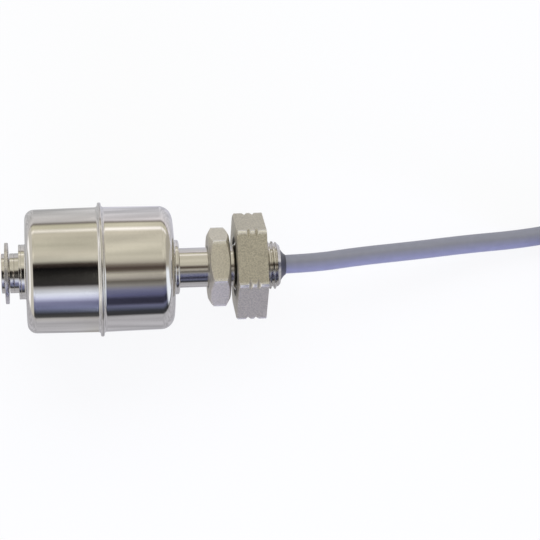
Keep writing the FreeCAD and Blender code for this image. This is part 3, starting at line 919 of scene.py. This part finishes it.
def makeNut():
    n = nut
    far = n["turnedTo"]
    first = n["start"]
    last = first + n["thickness"]
    slope = math.tan(math.radians(n["cornerSlope"]))
    depth = n["flats"] / math.sqrt(3) - n["grooveRoot"]
    reach = (far - n["grooveRoot"]) * n["grooveHalf"] / depth
    wide, deep = n["countersink"]
    outline = [
        (first, n["bore"] + wide),
        (first, n["frontCorner"]),
        (first + (far - n["frontCorner"]) * slope, far),
    ]
    for groove in n["grooves"]:
        outline += [
            (first + groove - reach, far),
            (first + groove, n["grooveRoot"]),
            (first + groove + reach, far),
        ]
    outline += [
        (last - (far - n["backCorner"]) * slope, far),
        (last, n["backCorner"]),
        (last, n["bore"] + wide),
        (last - deep, n["bore"]),
        (first + deep, n["bore"]),
    ]
    spare = n["spare"]
    turn = hexBody["turn"]
    bar = prismMesh("nutBar", n["flats"], turn, first - spare, last + spare, n["corner"])
    piece = newPiece("lockNut", bar, "nutNickel", "nut", ["lock_nut"])
    boolean(piece, "INTERSECT", latheMesh("nutTurned", outline, n["sides"]))
    softenEdges(piece, n["edge"])
    evenShading(piece)


makeHexBody()
makeStud()
makeNut()
print("threaded body and lock nut made")

# one line from the resin, along the table, round the hank and out at its tail
cable = {
    "diameter": 3.8,
    "start": 49.2,  # inside the stud, from the stem's closed end
    "straightTo": 62.0,
    "roundSteps": 7,
    "lengthSteps": 6,
    "lying": [
        (43.5, 1.0, 8.1),
        (55.5, 1.85, 6.1),
        (66.5, 2.85, 3.8),
        (77.0, 3.45, 2.1),
        (86.5, 4.75, 1.9),
        (95.0, 9.7, 1.9),
    ],
}

hank = {
    "middle": (122.4, -3.8, 0),
    "straight": 43.0,
    "innerLane": 11.5,
    "outerLane": 15.4,
    "layers": (1.9, 5.8, 9.7),
    "tailHeight": 9.6,
    "tail": (-21.5, -15.5, -9.5, -2.0),  # from the hank's middle
    "runShares": (0.0, 0.22, 0.42, 0.62, 0.82, 1.0),
    "endPoints": 4,
}


def hankPoint(x, y, z):
    return (Vector(hank["middle"]) + Vector((x, y, z))) * mm


def between(pair, share):
    return pair[0] + (pair[1] - pair[0]) * share


def into(share, stretch):
    # how far a share has come within a stretch, 0 before it and 1 after it
    return min(1, max(0, (share - stretch[0]) / (stretch[1] - stretch[0])))


def hankRun(side, stretch, lanes, heights):
    # along one straight: lane and height change within the stretch
    half = hank["straight"] / 2
    points = []
    for share in hank["runShares"]:
        part = into(share, stretch)
        ease = part * part * (3 - 2 * part)
        x = side * half * (2 * share - 1)
        points.append(hankPoint(x, side * between(lanes, ease), between(heights, ease)))
    return points


def hankEnd(side, stretch, lanes, heights):
    # round one end: the points stand outside the arc, as a smooth line's own points do
    half = hank["straight"] / 2
    count = hank["endPoints"]
    points = []
    for k in range(count):
        share = (k + 0.5) / count
        part = into(share, stretch)
        lane = between(lanes, part) / math.cos(math.pi / count / 2)
        angle = math.pi * share
        points.append(hankPoint(
            side * (half + lane * math.sin(angle)),
            side * lane * math.cos(angle),
            between(heights, part),
        ))
    return points


def hankRoute():
    # each row is one quarter of a turn, with its lanes and layers from start to end
    low, middle, top = hank["layers"]
    inner = hank["innerLane"]
    outer = hank["outerLane"]
    whole = (0.0, 1.0)
    rows = [
        (hankRun, 1, whole, (outer, outer), (low, low)),
        (hankEnd, 1, whole, (outer, outer), (low, low)),
        (hankRun, -1, (0.5, 1.0), (outer, inner), (low, low)),
        (hankEnd, -1, whole, (inner, inner), (low, low)),
        (hankRun, 1, whole, (inner, inner), (low, low)),
        (hankEnd, 1, whole, (inner, inner), (low, low)),
        (hankRun, -1, (0.0, 0.5), (inner, inner), (low, middle)),
        (hankEnd, -1, whole, (inner, inner), (middle, middle)),
        (hankRun, 1, whole, (inner, inner), (middle, middle)),
        (hankEnd, 1, (0.4, 1.0), (inner, outer), (middle, middle)),
        (hankRun, -1, whole, (outer, outer), (middle, middle)),
        (hankEnd, -1, whole, (outer, outer), (middle, middle)),
        (hankRun, 1, (0.6, 1.0), (outer, outer), (middle, top)),
        (hankEnd, 1, whole, (outer, outer), (top, top)),
        (hankRun, -1, whole, (outer, outer), (top, top)),
        (hankEnd, -1, (0.1, 0.9), (outer, inner), (top, top)),
    ]
    points = []
    for shape, *quarter in rows:
        points += shape(*quarter)
    return points + [hankPoint(x, inner, hank["tailHeight"]) for x in hank["tail"]]


def makeCable():
    start = onStem(cable["start"])
    route = [start, onStem(cable["straightTo"])]
    route += [Vector(point) * mm for point in cable["lying"]]
    route += hankRoute()
    data = bpy.data.curves.new("cable", "CURVE")
    data.dimensions = "3D"
    data.bevel_depth = cable["diameter"] / 2 * mm
    data.bevel_resolution = cable["roundSteps"]
    data.resolution_u = cable["lengthSteps"]
    data.use_fill_caps = True
    line = data.splines.new("NURBS")
    line.points.add(len(route) - 1)
    for point, place in zip(line.points, route):
        point.co = (*place, 1)
    line.order_u = 3
    line.use_endpoint_u = True
    piece = bpy.data.objects.new("cable", data)
    bpy.context.collection.objects.link(piece)
    data.materials.append(finishes["jacket"])
    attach(piece, "stem")
    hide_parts("cable_run", "cable_hank", "cable_tail")
    return piece, start


cablePiece, cableStart = makeCable()

tie = {
    "x": -8.0,
    "width": 2.6,
    "thickness": 0.9,
    "clearance": 0.02,
    "rounding": 0.18,
    "footing": 0.35,  # the band's lowest inner side, over the table
    "head": (4.4, 4.4, 2.6),
    "headEdge": 0.3,
    "headAside": 0.4,
    "headSink": 0.3,
    "slot": (2.8, 1.5, 6.0),
}


def hullAround(circles, grow, steps=48):
    # the taut outline round several circles, as points counter-clockwise
    cloud = sorted({
        (y + (radius + grow) * math.cos(angle), z + (radius + grow) * math.sin(angle))
        for y, z, radius in circles
        for angle in around(steps)
    })

    def turnsRight(first, second, third):
        (ax, ay), (bx, by), (cx, cy) = first, second, third
        return (bx - ax) * (cy - ay) - (by - ay) * (cx - ax) <= 0

    def chain(points):
        kept = []
        for point in points:
            while len(kept) > 1 and turnsRight(*kept[-2:], point):
                kept.pop()
            kept.append(point)
        return kept[:-1]
    return chain(cloud) + chain(cloud[::-1])


def makeTie():
    t = tie
    radius = cable["diameter"] / 2
    low, middle, top = hank["layers"]
    held = [
        (hank["outerLane"], low, radius),
        (hank["innerLane"], low, radius),
        (hank["outerLane"], middle, radius),
        (hank["innerLane"], hank["tailHeight"], radius),
    ]
    half = t["width"] / 2
    shoulder = half - t["rounding"]
    work = bmesh.new()

    def ring(x, grow, lowest):
        return [
            work.verts.new(hankPoint(t["x"] + x, y, max(z, lowest)))
            for y, z in hullAround(held, grow)
        ]

    rings = [
        ring(-half, t["clearance"], t["footing"]),
        ring(-half, t["thickness"] - t["rounding"], t["clearance"]),
        ring(-shoulder, t["thickness"], t["clearance"]),
        ring(shoulder, t["thickness"], t["clearance"]),
        ring(half, t["thickness"] - t["rounding"], t["clearance"]),
        ring(half, t["clearance"], t["footing"]),
    ]
    skin(work, rings + rings[:1])
    band = newPiece("tieBand", meshFrom(work, "tieBand"), "nylon", "stem", ["hank_tie"])
    smoothShading(band.data)
    base = hank["tailHeight"] + radius + t["thickness"] - t["headSink"]
    height = t["head"][2]
    y = hank["innerLane"] + t["headAside"]
    block = blockMesh("tieHead", t["head"], hankPoint(t["x"], y, base + height / 2))
    head = newPiece("tieHead", block, "nylon", "stem")
    slot = blockMesh("tieSlot", t["slot"], hankPoint(t["x"], y, base + height))
    boolean(head, "DIFFERENCE", slot)
    softenEdges(head, t["headEdge"])
    evenShading(head)


core = {
    "diameter": 1.3,
    "spread": 0.7,
    "sink": 1.0,
    "start": -2.0,
    "length": 22.0,
    "steps": 24,
    "tinned": 6.0,
    "hidden": 0.3,  # how far the strands start inside the insulation
    "strands": 7,
    "strandRadius": 0.115,
    "strandSteps": 30,
    "strandSides": 10,
    "strandSmooth": 50,
    "twist": 1.4,  # turns
    "wireRadius": 0.3,
}


def tubeMesh(name, line, radius, sides=20):
    # a tube round a list of points that run mostly along X
    work = bmesh.new()
    rings = []
    for k, here in enumerate(line):
        before = line[max(0, k - 1)]
        after = line[min(len(line) - 1, k + 1)]
        way = (after - before).normalized()
        side = way.cross(Vector((0, 0, 1))).normalized()
        top = side.cross(way)
        rings.append([
            work.verts.new(here + (side * math.cos(angle) + top * math.sin(angle)) * radius * mm)
            for angle in around(sides)
        ])
    skin(work, rings, capped=True)
    return meshFrom(work, name)


def strandMesh(number, end, y, z):
    # the middle strand is straight and the others wind round it
    c = core
    offset = c["wireRadius"] - c["strandRadius"] if number else 0
    path = []
    for k in range(c["strandSteps"] + 1):
        share = k / c["strandSteps"]
        angle = 2 * math.pi * (number / (c["strands"] - 1) + share * c["twist"])
        path.append(hankPoint(
            end - c["hidden"] + (c["tinned"] + c["hidden"]) * share,
            y + offset * math.cos(angle),
            z + offset * math.sin(angle),
        ))
    return tubeMesh("strand", path, c["strandRadius"], c["strandSides"])


def makeCore(colour, side):
    c = core
    y = hank["innerLane"] + side * c["spread"]
    z = hank["tailHeight"] - c["sink"]
    line = [
        hankPoint(c["start"] + c["length"] * k / c["steps"], y, z) for k in range(c["steps"] + 1)
    ]
    finish = f"{colour}Core"
    tube = tubeMesh(finish, line, c["diameter"] / 2)
    evenShading(newPiece(
        finish, tube, finish, "stem", [f"core_tail_{colour}"]
    ))
    work = bmesh.new()
    for number in range(c["strands"]):
        work.from_mesh(strandMesh(number, c["start"] + c["length"], y, z))
    name = f"{colour}TinnedEnd"
    wire = newPiece(
        name, meshFrom(work, name), "tinnedCopper", "stem", [f"tinned_end_{colour}"]
    )
    smoothShading(wire.data, c["strandSmooth"])


makeTie()
makeCore("brown", 1)
makeCore("blue", -1)
print("cable, tie and cores made")

resin = {
    "start": 49.2,
    "end": 55.9,  # just inside the stud's end
    "cover": 0.08,
    "rise": 1.2,
    "hollow": (1.2, 1.25),  # powers of the curve, along the jacket and towards it
    "bore": 2.99,
    "lip": 3.55,
    "tip": 2.03,
    "cable": 1.88,
    "steps": 14,
    "sides": 96,
    "smoothWithin": 40,
}


def makeResin():
    # the resin covers the stud's end and climbs the jacket in a hollow curve
    r = resin
    along, inward = r["hollow"]
    climb = []
    for k in range(r["steps"] + 1):
        share = k / r["steps"]
        climb.append((
            r["end"] + r["cover"] + r["rise"] * share ** along,
            r["tip"] + (r["lip"] - r["tip"]) * (1 - share) ** inward,
        ))
    outline = [
        (r["start"], r["cable"]),
        (r["start"], r["bore"]),
        (r["end"], r["bore"]),
        (r["end"], r["lip"]),
        *climb,
        (climb[-1][0], r["cable"]),
    ]
    mesh = latheMesh("cableResin", outline, r["sides"])
    piece = newPiece("cableResin", mesh, "resin", "stem", ["cable_potting"])
    smoothShading(piece.data, r["smoothWithin"])


makeResin()
print("resin made")

# the pieces inside keep their own meshes and get a finish
innerFinish = {
    "reed_sleeve": "silicone",
    "reed_glass": "reedGlass",
    "reed_blade_far": "reedAlloy",
    "reed_blade_near": "reedAlloy",
    "crimp_far": "copper",
    "crimp_near": "copper",
    "core_short": "blueCore",
    "core_long": "brownCore",
    "conductor_short": "copper",
    "conductor_return": "copper",
    "ring_magnet": "ferrite",
    "magnet_spacer_lower": "spacerPlastic",
    "magnet_spacer_upper": "spacerPlastic",
}

for name, finish in innerFinish.items():
    nodes[name].data.materials.clear()
    nodes[name].data.materials.append(finishes[finish])
print("inner pieces finished:", len(innerFinish))

studio = {
    "tableSize": 3.0,  # metres
    "tableMiddle": (0.03, 0, -0.0001),  # metres
    "tableColour": (236, 236, 236),
    "tableGlow": 0.88,
    "skyLight": 0.6,
    "mirrorGain": 1.2,
    "wobble": 4.0,  # degrees by which the bands' edges wander
    "wobbleTexture": (7, 4, 0.5),
    "patches": 0.4,  # how much the mirrored room varies along the switch
    "patchTexture": ((26, 3, 3), 3, 0.5),
    "patchEdges": (0.3, 0.7),
    "middleFrom": (0.004, 0.013),  # where the left bands go over to the middle ones
    "rightFrom": (0.017, 0.024),  # and where those go over to the right ones
    "aboveTable": (-0.12, -0.04),  # where the two ends of the room begin, by height
    "endGrey": (178, 176, 172),
    "leftEnd": {
        "from": (-0.28, -0.42),
        "tones": ((255, 254, 255), (194, 190, 182)),
        "change": (-0.84, -0.72),
        "grey": (-0.9, -0.95),
    },
    "rightEnd": {
        "from": (0.55, 0.74),
        "tones": ((236, 242, 252), (164, 159, 148)),
        "change": (-0.15, 0.1),
        "grey": (0.9, 0.95),
    },
}

# what polished metal mirrors, by the angle from straight up: below zero is towards -Y
roomBands = {
    "left": [
        (-110, (172, 171, 176)),
        (-99, (164, 162, 162)),
        (-94, (70, 70, 70)),
        (-86, (55, 56, 60)),
        (-80, (82, 87, 104)),
        (-72, (110, 114, 144)),
        (-60, (122, 124, 154)),
        (-52, (184, 188, 214)),
        (-44, (216, 221, 236)),
        (-37, (190, 193, 201)),
        (-31, (150, 149, 152)),
        (-27, (50, 48, 48)),
        (-14, (46, 45, 44)),
        (-8, (34, 33, 32)),
        (4, (10, 10, 11)),
        (12, (60, 52, 48)),
        (18, (184, 181, 168)),
        (30, (210, 204, 188)),
        (47, (182, 178, 162)),
        (73, (197, 191, 175)),
        (79, (246, 241, 231)),
        (85, (190, 185, 166)),
        (92, (198, 194, 173)),
        (97, (122, 116, 110)),
        (103, (196, 193, 193)),
        (125, (184, 183, 184)),
        (160, (178, 178, 180)),
    ],
    "middle": [
        (-99, (160, 158, 155)),
        (-94, (88, 88, 88)),
        (-85, (82, 84, 88)),
        (-79, (172, 180, 204)),
        (-74, (150, 158, 184)),
        (-67, (58, 62, 80)),
        (-58, (108, 111, 148)),
        (-47, (194, 199, 226)),
        (-38, (166, 168, 184)),
        (-32, (132, 133, 144)),
        (-27, (68, 66, 68)),
        (-18, (124, 123, 118)),
        (-9, (116, 115, 110)),
        (-3, (44, 42, 42)),
        (4, (24, 23, 24)),
        (11, (76, 70, 64)),
        (18, (194, 189, 176)),
        (30, (208, 203, 187)),
        (50, (194, 189, 173)),
        (73, (198, 192, 176)),
        (79, (250, 245, 238)),
        (85, (190, 185, 168)),
        (92, (198, 194, 174)),
        (97, (122, 116, 110)),
        (103, (203, 200, 200)),
        (130, (189, 188, 190)),
    ],
    "right": [
        (-110, (172, 171, 177)),
        (-99, (167, 166, 171)),
        (-94, (54, 54, 57)),
        (-85, (53, 54, 60)),
        (-79, (80, 84, 104)),
        (-74, (99, 101, 127)),
        (-67, (52, 52, 68)),
        (-57, (52, 52, 70)),
        (-50, (88, 90, 122)),
        (-40, (108, 110, 136)),
        (-31, (134, 132, 129)),
        (-23, (102, 97, 91)),
        (-17, (160, 155, 148)),
        (-10, (182, 177, 166)),
        (-4, (96, 88, 80)),
        (1, (70, 60, 55)),
        (7, (110, 102, 94)),
        (12, (160, 155, 144)),
        (19, (197, 192, 177)),
        (30, (205, 200, 184)),
        (50, (196, 191, 176)),
        (73, (198, 192, 177)),
        (79, (250, 246, 242)),
        (85, (190, 185, 168)),
        (92, (196, 192, 174)),
        (97, (124, 118, 112)),
        (103, (210, 206, 210)),
        (125, (198, 197, 202)),
        (160, (188, 188, 197)),
    ],
}


def makeTable():
    work = bmesh.new()
    bmesh.ops.create_grid(work, x_segments=1, y_segments=1, size=studio["tableSize"] / 2)
    mesh = meshFrom(work, "table", outward=False)
    table = bpy.data.objects.new("table", mesh)
    table.location = studio["tableMiddle"]
    bpy.context.collection.objects.link(table)
    # plain white with the object's shadow, and clear to what the metal mirrors
    material, graph = newMaterial("table")
    rays = graph.node("ShaderNodeLightPath")
    plain = graph.node("ShaderNodeBsdfDiffuse", None, {"Color": paint(*studio["tableColour"])})
    white = graph.node("ShaderNodeEmission", None, {"Color": (1, 1, 1, 1), "Strength": 1.0})
    clear = graph.node("ShaderNodeBsdfTransparent")
    shown = graph.mixShader(rays.out("Is Camera Ray") * studio["tableGlow"], plain, white)
    shown = graph.mixShader(rays.out("Is Glossy Ray"), shown, clear)
    graph.node("ShaderNodeOutputMaterial", None, {"Surface": shown})
    mesh.materials.append(material)


def roomColour(graph, way):
    # the room that metal mirrors: bands round the stem's axis, and two plain ends
    parts = graph.node("ShaderNodeSeparateXYZ", None, {0: way})
    ahead = parts.out("X")
    across = parts.out("Y")
    overStem = graph.vectorMath("DOT_PRODUCT", (way, tuple(upFromStem)), 1)
    lengthwise = graph.vectorMath("DOT_PRODUCT", (way, tuple(alongStem)), 1)
    turn = graph.math("ARCTAN2", across, overStem) * (180 / math.pi)
    wobble = (graph.noise(way, *studio["wobbleTexture"]) - 0.5) * studio["wobble"]
    place = (turn + wobble) / 360 + 0.5

    def bands(part):
        stops = [(angle / 360 + 0.5, paint(*colour)) for angle, colour in roomBands[part]]
        return graph.node("ShaderNodeValToRGB", {"stops": stops}, {0: place})

    toMiddle = graph.step(lengthwise, *studio["middleFrom"])
    toRight = graph.step(lengthwise, *studio["rightFrom"])
    room = graph.mixColour(toMiddle, bands("left"), bands("middle"))
    room = graph.mixColour(toRight, room, bands("right"))
    patch = graph.stretchedNoise(way, *studio["patchTexture"])
    patch = graph.step(patch, *studio["patchEdges"])
    shade = uneven(patch, 1, studio["patches"])
    room = graph.vectorMath("SCALE", {"Vector": room, "Scale": shade})
    aboveTable = graph.step(parts.out("Z"), *studio["aboveTable"])
    for end, changing in ((studio["leftEnd"], ahead), (studio["rightEnd"], across)):
        bright, dull = (paint(*tone) for tone in end["tones"])
        colour = graph.mixColour(graph.step(changing, *end["change"]), bright, dull)
        grey = graph.step(ahead, *end["grey"])
        colour = graph.mixColour(grey, colour, paint(*studio["endGrey"]))
        room = graph.mixColour(graph.step(ahead, *end["from"]) * aboveTable, room, colour)
    return room


def makeSky():
    world = bpy.data.worlds.new("studioSky")
    world.use_nodes = True
    bpy.context.scene.world = world
    graph = Graph(world.node_tree)
    room = roomColour(graph, graph.node("ShaderNodeTexCoord", None, None, "Generated"))

    def light(colour, strength):
        return graph.node("ShaderNodeBackground", None, (colour, strength))

    white = (1, 1, 1, 1)
    rays = graph.node("ShaderNodeLightPath")
    shown = graph.mixShader(
        rays.out("Is Glossy Ray"),
        light(white, studio["skyLight"]),
        light(room, studio["mirrorGain"]),
    )
    shown = graph.mixShader(rays.out("Is Transmission Ray"), shown, light(white, 1.0))
    shown = graph.mixShader(rays.out("Is Camera Ray"), shown, light(white, 1.0))
    graph.node("ShaderNodeOutputWorld", None, {"Surface": shown})


# places and sizes in metres
lampAim = (0.02, 0, 0.01)
lamps = {
    "highWindow": {
        "place": (0.02, 0.42, 0.36),
        "size": (0.6, 0.3),
        "power": 2.2,
        "colour": (236, 242, 255),
    },
    "blueSoftbox": {
        "place": (0.05, -0.42, 0.10),
        "size": (0.6, 0.14),
        "power": 3.3,
        "colour": (180, 187, 255),
    },
}


def makeLamps():
    for name, lamp in lamps.items():
        data = bpy.data.lights.new(name, "AREA")
        data.shape = "RECTANGLE"
        data.size, data.size_y = lamp["size"]
        data.energy = lamp["power"]
        data.color = paint(*lamp["colour"])[:3]
        light = bpy.data.objects.new(name, data)
        light.location = lamp["place"]
        toward = Vector(lampAim) - Vector(lamp["place"])
        light.rotation_euler = toward.to_track_quat("-Z", "Y").to_euler()
        light.visible_glossy = False
        bpy.context.collection.objects.link(light)


makeTable()
makeSky()
makeLamps()
bpy.context.scene.view_settings.view_transform = "Standard"
print("table, sky and lamps made")
